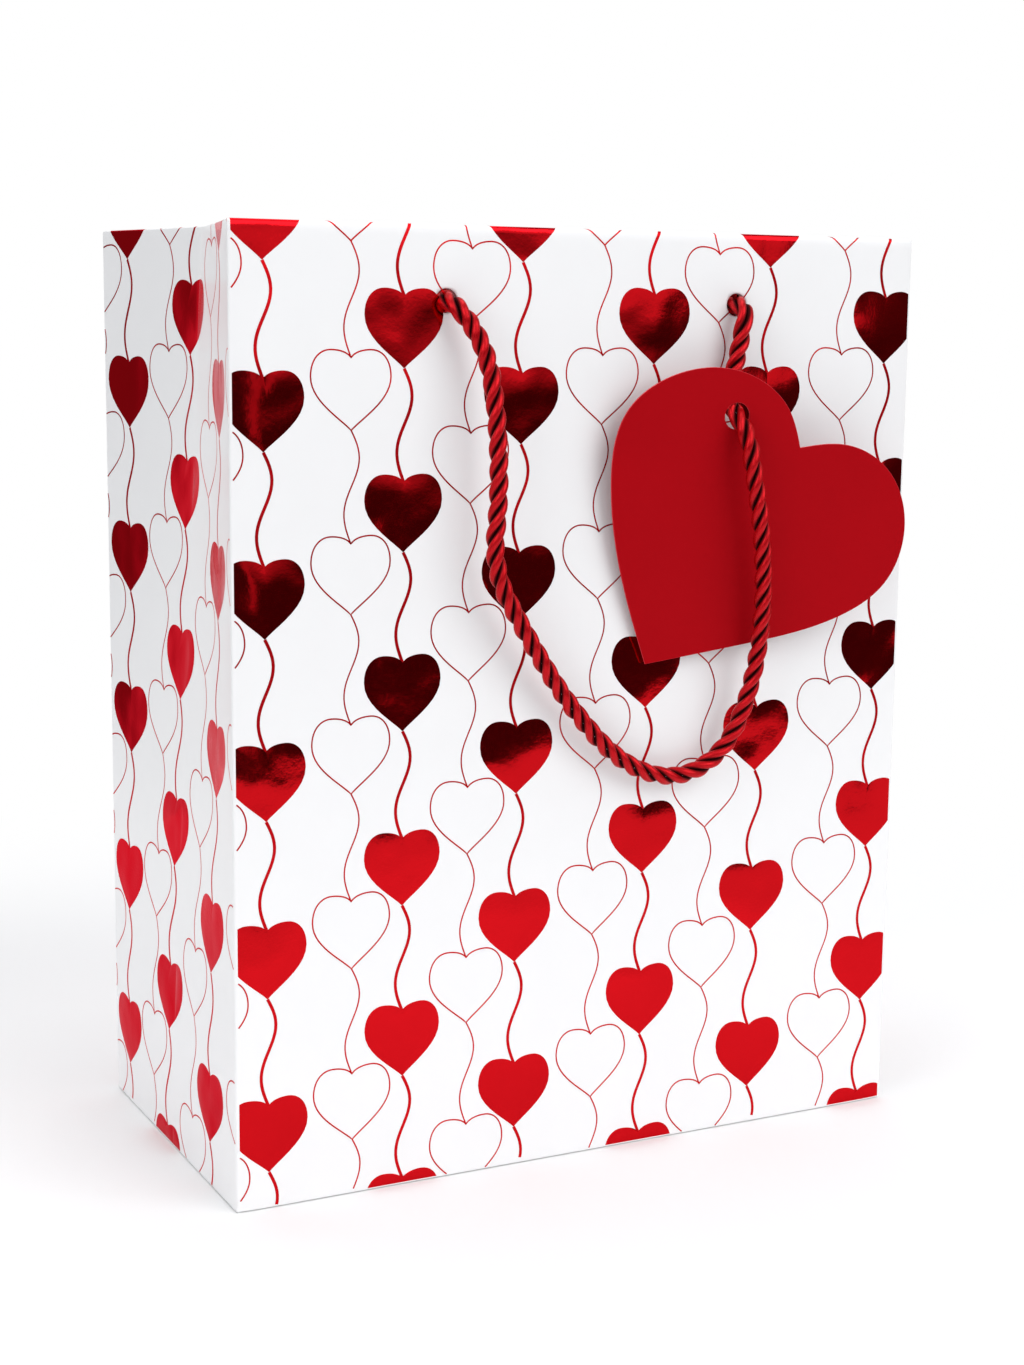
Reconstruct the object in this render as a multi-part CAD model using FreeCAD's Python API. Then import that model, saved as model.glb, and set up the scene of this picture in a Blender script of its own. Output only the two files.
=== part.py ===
import FreeCAD, Part
import math
import os

# Paper gift bag that stands on a table: a creased and glued bag of laminated art paper, with side
# gussets, a turned-in top hem over two card strips, a folded bottom under a loose card board,
# two twisted rope handles knotted inside the hem, and a heart-shaped tag on the front handle.
# Frame: millimetres, X across the front, Y from front to back, Z up, origin at the middle of
# the base on the surface that the bag stands on. The front panel faces -Y.

os.makedirs("parts", exist_ok=True)
Vec = FreeCAD.Vector

# Bag body
width = 183.0  # outer, along X
depth = 95.0  # outer, along Y
height = 227.0
paper = 0.4  # thickness of the bag's paper

# Side gussets: each is creased down its middle, and the crease is pushed in towards the mouth
gusset_push = 10.5  # how far the crease stands in at the mouth
push_starts = 12.0  # height where the crease leaves the flat of the side

# Top hem and the card strips inside it
hem_depth = 38.0  # how far the paper is turned in
strip_card = 0.8  # thickness of the card strips
hem_end_gap = 0.6  # front and back hems stop this far short of the side hems
strip_end_gap = 1.0  # card strips stop this far short of the hem's ends
side_hem_gap = 0.3  # side hems stop this far short of the front and back hems

# Glued seam at the front left corner
seam_flap = 14.0  # width of the glue flap
seam_gap = 0.15  # flap to gusset, room for the crease
seam_foot = 4.0  # the flap starts this far above the base

# Folded bottom
front_lap = 12.0  # the front bottom flap ends this far past the middle
back_lap = 10.0  # the back bottom flap ends this far past the middle
end_flap = 40.0  # length of the two end flaps
end_flap_taper = 12.0  # how much each end flap narrows at each side
end_flap_gap = 0.2  # end flap to the panels beside it

# Loose card board on the bottom
board_card = 1.2
board_gap = 2.0  # clearance to the walls all round
board_rest = 0.1  # clearance under the board

# Rope handles
rope = 4.5  # rope diameter
hole_gap = 0.55  # radial clearance in the punched holes
hole_half_span = 39.0  # each hole's distance from the middle of its panel
hole_drop = 17.0  # hole centres below the top edge
stub_stand = 0.2  # the fixed end of the rope stops this far outside the panel
knot = 5.2  # radius of a knot
knot_sink = 3.8  # knot centre to the hem
tail = 13.0  # rope left below a knot's centre

# Heart tag: a card on the front handle, leaning with its tip against the front panel
tag_card = 0.5
tag_hole_gap = 1.25  # radial clearance of the rope in the tag's hole
tag_tip_gap = 0.3  # the heart's tip to the panel
tag_turn = 0.123  # distance from the panel gained per millimetre to the right
tag_lean = 36.0  # degrees from upright to the heart's own axis, towards +X
tag_hole_across = -19.7  # hole centre from the heart's tip, across and along the heart's axis
tag_hole_along = 61.0

# Outline of the heart from its tip, across and along its axis, up each side to the cleft
tag_cleft = (-0.8, 65.0)
tag_left = [(-16.5, 11.3), (-35.0, 28.3), (-43.6, 45.5), (-38.5, 60.0), (-24.0, 70.5), (-9.2, 70.3)]
tag_right = [(20.4, 20.2), (36.2, 38.8), (41.3, 53.0), (36.2, 67.0), (22.5, 75.0), (9.6, 73.2)]

# Route of each rope outside the bag, from its -X end to its +X end: x, distance out from the
# panel's outer face, and distance below the hole line. The front rope passes through the tag's
# hole half way along the run named below.
front_route = [
    (-38.2, 4.6, 1.6),
    (-34.8, 6.0, 6.2),
    (-31.8, 7.9, 13.6),
    (-30.6, 9.8, 26.5),
    (-29.8, 9.7, 44.0),
    (-30.8, 8.0, 61.0),
    (-21.0, 6.4, 77.0),
    (-8.5, 4.7, 95.0),
    (7.0, 3.6, 111.0),
    (23.5, 3.5, 116.5),
    (37.0, 4.2, 109.5),
    (42.2, 7.2, 92.5),
    (42.3, 11.0, 73.5),
    (39.6, 13.6, 55.0),
    (36.0, 14.7, 40.5),
    (34.2, 14.0, 29.9),
    (33.2, 5.6, 22.9),
    (37.2, 4.1, 11.9),
    (38.9, 4.5, 1.6),
]
back_route = [
    (-38.4, 4.6, 1.6),
    (-36.6, 5.6, 8.0),
    (-34.8, 7.2, 17.5),
    (-33.6, 8.4, 31.5),
    (-34.4, 8.3, 49.0),
    (-31.5, 7.2, 68.0),
    (-24.5, 6.0, 86.5),
    (-13.5, 4.8, 102.5),
    (0.5, 4.0, 111.0),
    (16.0, 3.9, 110.0),
    (28.0, 4.6, 98.5),
    (34.0, 5.8, 81.0),
    (36.2, 7.2, 62.5),
    (35.4, 8.3, 43.5),
    (35.0, 8.2, 26.5),
    (35.8, 7.0, 15.0),
    (37.2, 5.6, 7.0),
    (38.4, 4.6, 1.6),
]
tag_run = 15  # the run of the front route that starts at this point, counted from 0
arc_share = 0.45  # share of the shorter run that an arc takes up on each side of its point

# Worked out from the values above
half_width = width / 2
half_depth = depth / 2
hole_z = height - hole_drop
hole_radius = rope / 2 + hole_gap
hem_z = height - hem_depth
hem_face = paper + strip_card + paper  # from a panel's outer face to the inner face of its hem
side_room = half_depth - paper  # half length of a side gusset, between the two panels
hem_half_span = half_width - 2 * paper - hem_end_gap
strip_half_span = hem_half_span - strip_end_gap
flaps_top = 3 * paper


def save(shape, name):
    """Write one sub-part as a STEP file named after its node."""
    if not shape.isValid() or shape.Volume <= 0:
        raise ValueError(name + " is not a valid solid")
    shape.exportStep("parts/" + name + ".step")


def block(low, high):
    """Box between two corners."""
    size = Vec(*high) - Vec(*low)
    return Part.makeBox(size.x, size.y, size.z, Vec(*low))


def prism(outline, z_low, z_high):
    """Upright prism over a closed outline of (x, y) points."""
    points = [Vec(x, y, z_low) for x, y in outline]
    face = Part.Face(Part.makePolygon(points + points[:1]))
    return face.extrude(Vec(0, 0, z_high - z_low))


def punched(shape, end):
    """Cut the two rope holes through a panel, card strip or hem. end is -1 in front, 1 behind."""
    for side in (-1, 1):
        start = Vec(side * hole_half_span, end * (half_depth - hem_face - 1), hole_z)
        shape = shape.cut(Part.makeCylinder(hole_radius, hem_face + 2, start, Vec(0, end, 0)))
    return shape


def push_at(z):
    """How far a gusset's crease stands in at height z."""
    return gusset_push * max(0.0, z - push_starts) / (height - push_starts)


def gusset_x(side, y, z, inset):
    """X of a gusset's surface, inset from its outer face, at y and z. side is -1 left, 1 right."""
    towards_crease = 1 - abs(y) / side_room
    return side * (half_width - inset - push_at(z) * towards_crease)


def gusset_skin(side, ends, levels, outer, inner):
    """Sheet of paper that follows a gusset: ends are its y stations, levels its heights."""
    sections = []
    for z in levels:
        points = [Vec(gusset_x(side, y, z, outer), y, z) for y in ends]
        points += [Vec(gusset_x(side, y, z, inner), y, z) for y in reversed(ends)]
        sections.append(Part.makePolygon(points + points[:1]))
    return Part.makeLoft(sections, True, True)


def cord_path(points, name):
    """Wire of straight runs joined by tangent arcs, each as large as its two runs allow."""
    edges = []
    radii = []
    start = points[0]
    for before, corner, after in zip(points, points[1:], points[2:]):
        arriving = (corner - before).normalize()
        leaving = (after - corner).normalize()
        turn = arriving.getAngle(leaving)
        setback = arc_share * min((corner - before).Length, (after - corner).Length)
        radius = setback / math.tan(turn / 2)
        radii.append(radius)
        first = corner - arriving * setback
        last = corner + leaving * setback
        inward = (leaving - arriving).normalize()
        middle = corner + inward * (math.hypot(radius, setback) - radius)
        edges.append(Part.LineSegment(start, first).toShape())
        edges.append(Part.Arc(first, middle, last).toShape())
        start = last
    edges.append(Part.LineSegment(start, points[-1]).toShape())
    print(name, "bend radii, mm:", " ".join("%.1f" % radius for radius in radii))
    return Part.Wire(edges)


def cord_tube(points, name):
    """Round tube along a cord's path, with its volume compared to its section times its length."""
    path = cord_path(points, name)
    section = Part.Circle(points[0], points[1] - points[0], rope / 2)
    tube = path.makePipeShell([Part.Wire(section.toShape())], True, True)
    expected = math.pi * (rope / 2) ** 2 * path.Length
    print("%s length %.1f mm, volume / expected %.4f" % (name, path.Length, tube.Volume / expected))
    return tube


def placed_route(route, end):
    """Route points in the bag's frame. end is -1 in front of the bag, 1 behind it."""
    return [Vec(x, end * (half_depth + stand), hole_z - drop) for x, stand, drop in route]


# Panels
for end, name in ((-1, "front_panel"), (1, "back_panel")):
    low_y, high_y = sorted((end * half_depth, end * side_room))
    panel = block((-half_width, low_y, 0), (half_width, high_y, height))
    save(punched(panel, end), name)

# Side gussets, each in two halves that meet at the crease
for side, side_name in ((-1, "left"), (1, "right")):
    for end, end_name in ((-1, "front"), (1, "rear")):
        half = gusset_skin(side, (end * side_room, 0), (0, push_starts, height), 0, paper)
        save(half, side_name + "_gusset_" + end_name)

# Glue flap of the side seam, inside the front panel at the left corner
flap_x = -half_width + paper + seam_gap
flap = block((flap_x, -side_room, seam_foot), (flap_x + seam_flap, paper - side_room, hem_z))
save(flap, "side_seam_flap")

# Card strips and turned-in hems of the front and back
for end, end_name in ((-1, "front"), (1, "back")):
    strip_y = sorted((end * side_room, end * (side_room - strip_card)))
    hem_y = sorted((end * (side_room - strip_card), end * (half_depth - hem_face)))
    strip = block((-strip_half_span, strip_y[0], hem_z), (strip_half_span, strip_y[1], height - paper))
    save(punched(strip, end), end_name + "_top_card")
    turned = block((-hem_half_span, hem_y[0], hem_z), (hem_half_span, hem_y[1], height))
    fold = block((-hem_half_span, strip_y[0], height - paper), (hem_half_span, strip_y[1], height))
    save(punched(turned.fuse(fold).removeSplitter(), end), end_name + "_hem")

# Turned-in hems of the sides
hem_end_y = half_depth - hem_face - side_hem_gap
for side, side_name in ((-1, "left"), (1, "right")):
    hem = gusset_skin(side, (-hem_end_y, 0, hem_end_y), (hem_z, height), paper, 2 * paper)
    save(hem, side_name + "_hem")

# Folded bottom: the front flap, the back flap lapped over it, and the two end flaps on top
bottom_half = half_width - paper
front_flap = block((-bottom_half, -side_room, 0), (bottom_half, front_lap, paper))
save(front_flap, "front_bottom_flap")
back_flap = block((-bottom_half, front_lap, 0), (bottom_half, side_room, paper))
lapped = block((-bottom_half, -back_lap, paper), (bottom_half, front_lap + paper, 2 * paper))
save(back_flap.fuse(lapped).removeSplitter(), "back_bottom_flap")
end_half = side_room - end_flap_gap
for side, side_name in ((-1, "left"), (1, "right")):
    root_x = side * bottom_half
    tip_x = side * (bottom_half - end_flap)
    tip_half = end_half - end_flap_taper
    outline = [(root_x, -end_half), (tip_x, -tip_half), (tip_x, tip_half), (root_x, end_half)]
    save(prism(outline, 2 * paper, flaps_top), side_name + "_bottom_flap")

# Loose board
board_x = half_width - paper - board_gap
board_y = side_room - board_gap
board_z = flaps_top + board_rest
save(block((-board_x, -board_y, board_z), (board_x, board_y, board_z + board_card)), "bottom_board")

# Rope: the part that swings, the ends held in the holes, and the knots inside the hem
for end, end_name, route in ((-1, "front", front_route), (1, "back", back_route)):
    save(cord_tube(placed_route(route, end), end_name + "_rope"), end_name + "_rope")
    for side, side_name in ((-1, "left"), (1, "right")):
        at_hem = Vec(side * hole_half_span, end * (half_depth - hem_face), hole_z)
        rope_end = Part.makeCylinder(rope / 2, hem_face + stub_stand, at_hem, Vec(0, end, 0))
        save(rope_end, "%s_%s_rope_end" % (end_name, side_name))
        centre = at_hem - Vec(0, end * knot_sink, 0)
        ball = Part.makeSphere(knot, centre)
        hanging = Part.makeCylinder(rope / 2, tail, centre, Vec(0, 0, -1))
        beyond_hem = Part.makeBox(3 * knot, 3 * knot, 3 * knot, Vec(-1.5 * knot, 0, -1.5 * knot))
        if end < 0:
            beyond_hem.translate(Vec(0, -3 * knot, 0))
        beyond_hem.translate(at_hem)
        save(ball.fuse(hanging).cut(beyond_hem), "%s_%s_knot" % (end_name, side_name))

# Heart tag. Its plane passes through the rope's own line at the hole, turns a little away from
# the panel to the right, and tilts so that the heart's tip comes down to the panel.
front_points = placed_route(front_route, -1)
tag_centre = (front_points[tag_run] + front_points[tag_run + 1]) / 2
tag_stand = -tag_centre.y - half_depth
lean = math.radians(tag_lean)
tip_right = -tag_hole_across * math.cos(lean) - tag_hole_along * math.sin(lean)
tip_down = -tag_hole_across * math.sin(lean) + tag_hole_along * math.cos(lean)
tip_stand = tag_card / 2 + tag_tip_gap
tag_tilt = (tag_stand - tip_stand + tag_turn * tip_right) / tip_down
tag_normal = Vec(-tag_turn, -1, -tag_tilt).normalize()
tag_up = (Vec(0, 0, 1) - tag_normal * tag_normal.z).normalize()
tag_across = tag_up.cross(tag_normal)
heart_across = tag_across * math.cos(lean) - tag_up * math.sin(lean)
heart_along = tag_across * math.sin(lean) + tag_up * math.cos(lean)


def tag_point(point):
    """Point of the tag's back face from its place across and along the heart's axis."""
    across, along = point
    offset = heart_across * (across - tag_hole_across) + heart_along * (along - tag_hole_along)
    return tag_centre + offset - tag_normal * (tag_card / 2)


tag_sides = []
for side_points in (tag_left, tag_right):
    curve = Part.BSplineCurve()
    curve.interpolate([tag_point(point) for point in [(0, 0)] + side_points + [tag_cleft]])
    tag_sides.append(curve.toShape())
tag = Part.Face(Part.Wire(tag_sides)).extrude(tag_normal * tag_card)
punch_start = tag_centre - tag_normal * (2 * tag_card)
punch = Part.makeCylinder(rope / 2 + tag_hole_gap, 4 * tag_card, punch_start, tag_normal)
save(tag.cut(punch), "heart_tag")
print("tag hole centre", tag_centre, "normal", tag_normal)
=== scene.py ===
import math

import bmesh
import bpy
import numpy as np
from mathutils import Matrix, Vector


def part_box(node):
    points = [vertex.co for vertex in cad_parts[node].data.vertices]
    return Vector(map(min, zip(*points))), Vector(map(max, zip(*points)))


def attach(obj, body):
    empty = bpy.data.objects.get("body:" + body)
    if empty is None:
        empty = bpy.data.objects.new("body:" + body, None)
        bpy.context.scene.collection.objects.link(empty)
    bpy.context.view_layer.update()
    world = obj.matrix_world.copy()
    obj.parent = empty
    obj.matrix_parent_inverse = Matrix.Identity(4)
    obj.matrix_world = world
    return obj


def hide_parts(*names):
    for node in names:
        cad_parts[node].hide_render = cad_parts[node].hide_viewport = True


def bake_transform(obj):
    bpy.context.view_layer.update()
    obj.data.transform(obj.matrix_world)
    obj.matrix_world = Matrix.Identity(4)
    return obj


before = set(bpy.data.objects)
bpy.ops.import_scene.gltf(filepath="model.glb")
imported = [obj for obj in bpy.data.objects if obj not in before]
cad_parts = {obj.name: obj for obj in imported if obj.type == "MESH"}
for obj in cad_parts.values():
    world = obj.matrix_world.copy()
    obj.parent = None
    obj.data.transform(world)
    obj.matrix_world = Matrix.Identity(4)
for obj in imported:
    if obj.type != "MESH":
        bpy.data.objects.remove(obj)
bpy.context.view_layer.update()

bl_info = {
    "name": "Gift Bag with Rope Handles",
    "version": (1, 0, 0),
    "blender": (4, 5, 0),
    "location": "View3D > Sidebar > Gift Bag",
    "description": "Paper gift bag with printed foil hearts, twisted rope handles and a heart tag",
    "category": "Add Mesh",
}

MM = 0.001

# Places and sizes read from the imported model, in metres
PANEL_LOW, PANEL_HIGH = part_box("front_panel")
GUSSET_LOW, GUSSET_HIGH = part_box("left_gusset_front")
HEM_LOW, HEM_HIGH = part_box("front_hem")
HALF_WIDTH = PANEL_HIGH.x
HALF_DEPTH = -PANEL_LOW.y
HEIGHT = PANEL_HIGH.z
PAPER = PANEL_HIGH.y - PANEL_LOW.y
SIDE_ROOM = HALF_DEPTH - PAPER
PUSH_IN = GUSSET_HIGH.x - GUSSET_LOW.x - PAPER
HEM_FACE = HALF_DEPTH + HEM_HIGH.y
HEM_FOOT = HEM_LOW.z

# Rope holes: across from the middle of a wall, height, and radius
HOLE_X = 39.0 * MM
HOLE_Z = HEIGHT - 17.0 * MM
HOLE_RADIUS = 2.8 * MM

# Routes of the two ropes, in metres: x, distance out from the panel, distance below the holes
FRONT_ROUTE = [
    (-0.0382, 0.0046, 0.0016),
    (-0.0348, 0.0060, 0.0062),
    (-0.0318, 0.0079, 0.0136),
    (-0.0306, 0.0098, 0.0265),
    (-0.0298, 0.0097, 0.0440),
    (-0.0308, 0.0080, 0.0610),
    (-0.0210, 0.0064, 0.0770),
    (-0.0085, 0.0047, 0.0950),
    (0.0070, 0.0036, 0.1110),
    (0.0235, 0.0035, 0.1165),
    (0.0370, 0.0042, 0.1095),
    (0.0422, 0.0072, 0.0925),
    (0.0423, 0.0110, 0.0735),
    (0.0396, 0.0136, 0.0550),
    (0.0360, 0.0147, 0.0405),
    (0.0342, 0.0140, 0.0299),
    (0.0332, 0.0056, 0.0229),
    (0.0372, 0.0041, 0.0119),
    (0.0389, 0.0045, 0.0016),
]
BACK_ROUTE = [
    (-0.0384, 0.0046, 0.0016),
    (-0.0366, 0.0056, 0.0080),
    (-0.0348, 0.0072, 0.0175),
    (-0.0336, 0.0084, 0.0315),
    (-0.0344, 0.0083, 0.0490),
    (-0.0315, 0.0072, 0.0680),
    (-0.0245, 0.0060, 0.0865),
    (-0.0135, 0.0048, 0.1025),
    (0.0005, 0.0040, 0.1110),
    (0.0160, 0.0039, 0.1100),
    (0.0280, 0.0046, 0.0985),
    (0.0340, 0.0058, 0.0810),
    (0.0362, 0.0072, 0.0625),
    (0.0354, 0.0083, 0.0435),
    (0.0350, 0.0082, 0.0265),
    (0.0358, 0.0070, 0.0150),
    (0.0372, 0.0056, 0.0070),
    (0.0384, 0.0046, 0.0016),
]
TAG_RUN = 15  # the tag hangs half way along the run that starts at this point of the front route
FRONT_LENGTH = 0.283  # of each rope from behind one hole to behind the other
BACK_LENGTH = 0.266

# Make of the rope: a strand's radius and its distance from the rope's line as shares of the rope's
# diameter, and the yarn ridges round a strand: their number, their lay in rope lays and their height
STRAND_RADIUS = 0.219
STRAND_OFFSET = 0.281
YARNS = 9
YARN_LAY = 1.35
YARN_RIDGE = 0.032
END_TAPER = (0.02, 0.7, 0.93)

# How a rope leaves its hole and what it does inside: x from the hole, distance out from the
# panel, distance below the hole. The mirrored hole mirrors x.
HOLE_PASSAGE = [(0.0, -0.0052, 0.0), (0.0, -0.0020, 0.0), (0.0, 0.0016, 0.0)]
KNOT_TURNS = [
    (0.0, -0.0018, 0.0),
    (0.0002, -0.0042, 0.0002),
    (0.0012, -0.0058, -0.0012),
    (0.0034, -0.0060, -0.0016),
    (0.0036, -0.0052, 0.0022),
    (0.0006, -0.0044, 0.0038),
    (-0.0030, -0.0042, 0.0026),
    (-0.0040, -0.0046, -0.0010),
    (-0.0016, -0.0054, -0.0040),
    (0.0020, -0.0066, -0.0034),
    (0.0018, -0.0082, 0.0004),
    (0.0004, -0.0084, 0.0046),
    (-0.0004, -0.0072, 0.0088),
    (0.0, -0.0066, 0.0128),
]

# Stage
CAMERA_LENS = 57.778
CAMERA_PLACE = (-0.25378, -0.50650, 0.20564)
CAMERA_TURN = [math.radians(angle) for angle in (80.6236, -0.5970, -26.7683)]
LIGHT_TARGET = (0.0, 0.0, 0.11)
FLOOR_FRONT = -0.485  # the floor's near edge, which the foil on the front wall mirrors

# Heart tag: hole from the tip across and along the heart's axis, lean of that axis, turn of the
# tag away from the wall as a slope, gap between its tip and the wall, and outline from the tip
TAG_HOLE = (-0.0197, 0.0610)
TAG_LEAN = math.radians(36.0)
TAG_TURN = 0.123
TAG_TIP_GAP = 0.3 * MM
TAG_CARD = 0.5 * MM
TAG_SOFT_EDGE = 0.07 * MM
TAG_HOLE_RADIUS = 3.25 * MM
TAG_CLEFT = (-0.0008, 0.0650)
TAG_LEFT = [
    (-0.0165, 0.0113),
    (-0.0350, 0.0283),
    (-0.0436, 0.0455),
    (-0.0385, 0.0600),
    (-0.0240, 0.0705),
    (-0.0092, 0.0703),
]
TAG_RIGHT = [
    (0.0204, 0.0202),
    (0.0362, 0.0388),
    (0.0413, 0.0530),
    (0.0362, 0.0670),
    (0.0225, 0.0750),
    (0.0096, 0.0732),
]

# Columns of the print on each wall: place across, height of the lowest tip, and whether it is
# a filled heart. Across runs to the right as each wall is seen from outside.
FRONT_COLUMNS = [
    (-0.0980, -0.0040, False),
    (-0.0835, 0.0087, True),
    (-0.0625, 0.0133, False),
    (-0.0495, 0.0271, True),
    (-0.0325, -0.0040, False),
    (-0.0195, 0.0095, True),
    (0.0020, 0.0139, False),
    (0.0160, 0.0281, True),
    (0.0340, -0.0038, False),
    (0.0485, 0.0096, True),
    (0.0705, 0.0142, False),
    (0.0835, 0.0283, True),
]
LEFT_COLUMNS = [
    (-0.0480, -0.0040, False),
    (-0.0355, 0.0103, True),
    (-0.0153, 0.0135, False),
    (-0.0040, 0.0290, True),
    (0.0155, -0.0038, False),
    (0.0285, 0.0107, True),
    (0.0505, 0.0134, False),
]
BACK_COLUMNS = [(across - 0.0035, tip + 0.0065, filled) for across, tip, filled in FRONT_COLUMNS[1:]]
RIGHT_COLUMNS = [(across + 0.0045, tip + 0.0110, filled) for across, tip, filled in LEFT_COLUMNS[:6]]


def size_property(name, description, default, lowest, highest):
    """A length that the user can change."""
    return bpy.props.FloatProperty(
        name=name, description=description, default=default, min=lowest, max=highest, unit="LENGTH")


def colour_property(name, description, default):
    """A colour that the user can change."""
    return bpy.props.FloatVectorProperty(
        name=name, description=description, default=default, min=0.0, max=1.0, size=3, subtype="COLOR")


class GiftBagSizes(bpy.types.PropertyGroup):
    """Sizes of the soft and printed parts of the bag."""

    fold_radius: size_property(
        "Corner fold radius", "How softly the sheet turns at the four upright folds", 0.8 * MM, 0.0005, 0.003)
    crease_softness: size_property(
        "Crease softness", "Half width of the rounded bottom of each side's crease", 0.7 * MM, 0.0004, 0.004)
    bow: size_property(
        "Wall bow", "How far the front and back walls sag in between their folds", 0.7 * MM, 0.0, 0.0015)
    ripple: size_property(
        "Paper ripple", "Height of the slow waves left in the paper", 0.07 * MM, 0.0, 0.0003)
    rope_diameter: size_property("Rope diameter", "Diameter over the three strands", 4.5 * MM, 0.003, 0.006)
    rope_lay: size_property(
        "Rope lay", "Length along the rope in which a strand goes once round", 15.0 * MM, 0.008, 0.03)
    heart_width: size_property("Heart width", "Width of a printed heart", 19.5 * MM, 0.01, 0.03)
    heart_pitch: size_property(
        "Heart pitch", "Distance from one heart to the next one up its column", 41.9 * MM, 0.03, 0.08)


class GiftBagColours(bpy.types.PropertyGroup):
    """Colours of the bag's finishes."""

    paper: colour_property("Paper", "Coated face of the paper", (0.90, 0.90, 0.905))
    foil: colour_property("Foil", "Stamped metallic foil", (0.60, 0.0060, 0.0105))
    rope: colour_property("Rope", "Satin yarn of the handles", (0.50, 0.0040, 0.008))
    tag: colour_property("Tag", "Dyed card of the heart tag", (0.385, 0.0019, 0.0058))


# ---------------------------------------------------------------- mesh helpers


class Shapes:
    """Collects point arrays and face index arrays into one mesh."""

    def __init__(self):
        self.points = []
        self.faces = []
        self.count = 0

    def add(self, points, faces):
        """Adds points (n by 3) and faces, an array or lists of indices into them."""
        if isinstance(faces, np.ndarray):
            self.faces += (faces + self.count).tolist()
        else:
            self.faces += [[i + self.count for i in face] for face in faces]
        self.points.append(np.asarray(points, float).reshape(-1, 3))
        self.count += len(self.points[-1])


def grid_faces(rows, columns, close_rows=False, close_columns=False):
    """Quads of a grid of points numbered row by row. A closed direction joins its last to its first."""
    index = np.arange(rows * columns).reshape(rows, columns)
    if close_rows:
        index = np.vstack([index, index[:1]])
    if close_columns:
        index = np.hstack([index, index[:, :1]])
    quads = np.stack([index[:-1, :-1], index[:-1, 1:], index[1:, 1:], index[1:, :-1]], axis=-1)
    return quads.reshape(-1, 4)


def new_piece(name, points, faces, smooth=True, merge=0.0):
    """Makes a mesh object at the origin from points and faces, with its normals facing out."""
    mesh = bpy.data.meshes.new(name)
    mesh.from_pydata(np.asarray(points, float).reshape(-1, 3).tolist(), [], [list(f) for f in faces])
    if merge > 0:
        work = bmesh.new()
        work.from_mesh(mesh)
        bmesh.ops.remove_doubles(work, verts=work.verts, dist=merge)
        bmesh.ops.dissolve_degenerate(work, edges=work.edges, dist=merge)
        work.to_mesh(mesh)
        work.free()
    mesh.validate()
    mesh.polygons.foreach_set("use_smooth", np.full(len(mesh.polygons), smooth))
    mesh.update()
    piece = bpy.data.objects.new(name, mesh)
    bpy.context.scene.collection.objects.link(piece)
    return piece


def point_values(piece, name, values):
    """Stores one number per point as an attribute that a material can read."""
    layer = piece.data.attributes.new(name, "FLOAT", "POINT")
    layer.data.foreach_set("value", np.asarray(values, np.float32).ravel())


def solidify(piece, thickness):
    """Gives a sheet its thickness behind its face, with closed edges."""
    modifier = piece.modifiers.new("Thickness", "SOLIDIFY")
    modifier.thickness = thickness
    modifier.offset = -1.0
    modifier.use_even_offset = True
    modifier.use_rim = True
    modifier.material_offset = 1
    modifier.material_offset_rim = 1


def smooth_step(value):
    """3 v^2 - 2 v^3, held at 0 and 1 outside that range."""
    value = np.clip(value, 0.0, 1.0)
    return value * value * (3 - 2 * value)


# ---------------------------------------------------------------- the paper's own surface

CORNER_ROOM = 8.0 * MM  # the front and back walls bend back over this width beside each upright fold
CORNER_BEND = 12.0  # curvature of that bend, per metre
CORNER_DROP = CORNER_BEND * CORNER_ROOM ** 2 / 2
CREASE_START = 12.0 * MM  # height at which a side's crease begins, and the softness of that start
BOW_RISE = 60 * MM  # height over which a wall's bow grows from its stiff base, or fades to the top
BOW_STOP = HEM_FOOT + 8 * MM  # the front and back bow has died away here, where the hem stiffens them
BOW_FALL = 70 * MM  # height over which it dies away
SIDE_BOW_START = 45 * MM  # a side's bow begins above the lifted board
SIDE_BOW = 1.6  # bow and ripple of a side, as multiples of those of the front
SIDE_RIPPLE = 0.8


def crease_depth(z):
    """How far a side's crease stands in at height z: half of h + sqrt(h^2 + s^2), with h the height
    above the start of the crease and s the softness of that start, scaled to end at the full depth."""

    def ramp(height):
        """Half of h + sqrt(h^2 + s^2)."""
        h = height - CREASE_START
        return 0.5 * (h + np.sqrt(h * h + CREASE_START * CREASE_START))

    foot = ramp(0.0)
    return PUSH_IN * (ramp(np.maximum(z, 0.0)) - foot) / (ramp(HEIGHT) - foot)


def wall_slack(x, z, end):
    """How far inside its plane a front or back wall lies at x, z: a long bow that is deepest in
    the middle, plus two crossed sine ripples, fading out towards the folds and the base, plus
    CORNER_BEND n^2 / 2 with n the way into CORNER_ROOM beside an upright fold."""
    sizes = bpy.context.scene.gift_bag_sizes
    across = np.clip(1 - (x / HALF_WIDTH) ** 2, 0.0, 1.0)
    up = smooth_step(z / BOW_RISE) * smooth_step((BOW_STOP - z) / BOW_FALL)
    edge = smooth_step((HALF_WIDTH - np.abs(x)) / (9 * MM)) * smooth_step(z / (6 * MM))
    edge = edge * (0.45 + 0.55 * smooth_step((HEIGHT - z) / (45 * MM)))
    first = np.sin(x / (7.1 * MM) + 1.3 * np.sin(z / (23 * MM)) + end)
    second = np.sin(z / (11.3 * MM) + x / (19 * MM) + 2.0 * end)
    ripple = 1.0 + 0.55 * first + 0.45 * second
    near = np.maximum(CORNER_ROOM - (HALF_WIDTH - np.abs(x)), 0.0)
    return sizes.bow * across * up + sizes.ripple * ripple * edge + CORNER_BEND * near * near / 2


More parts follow.
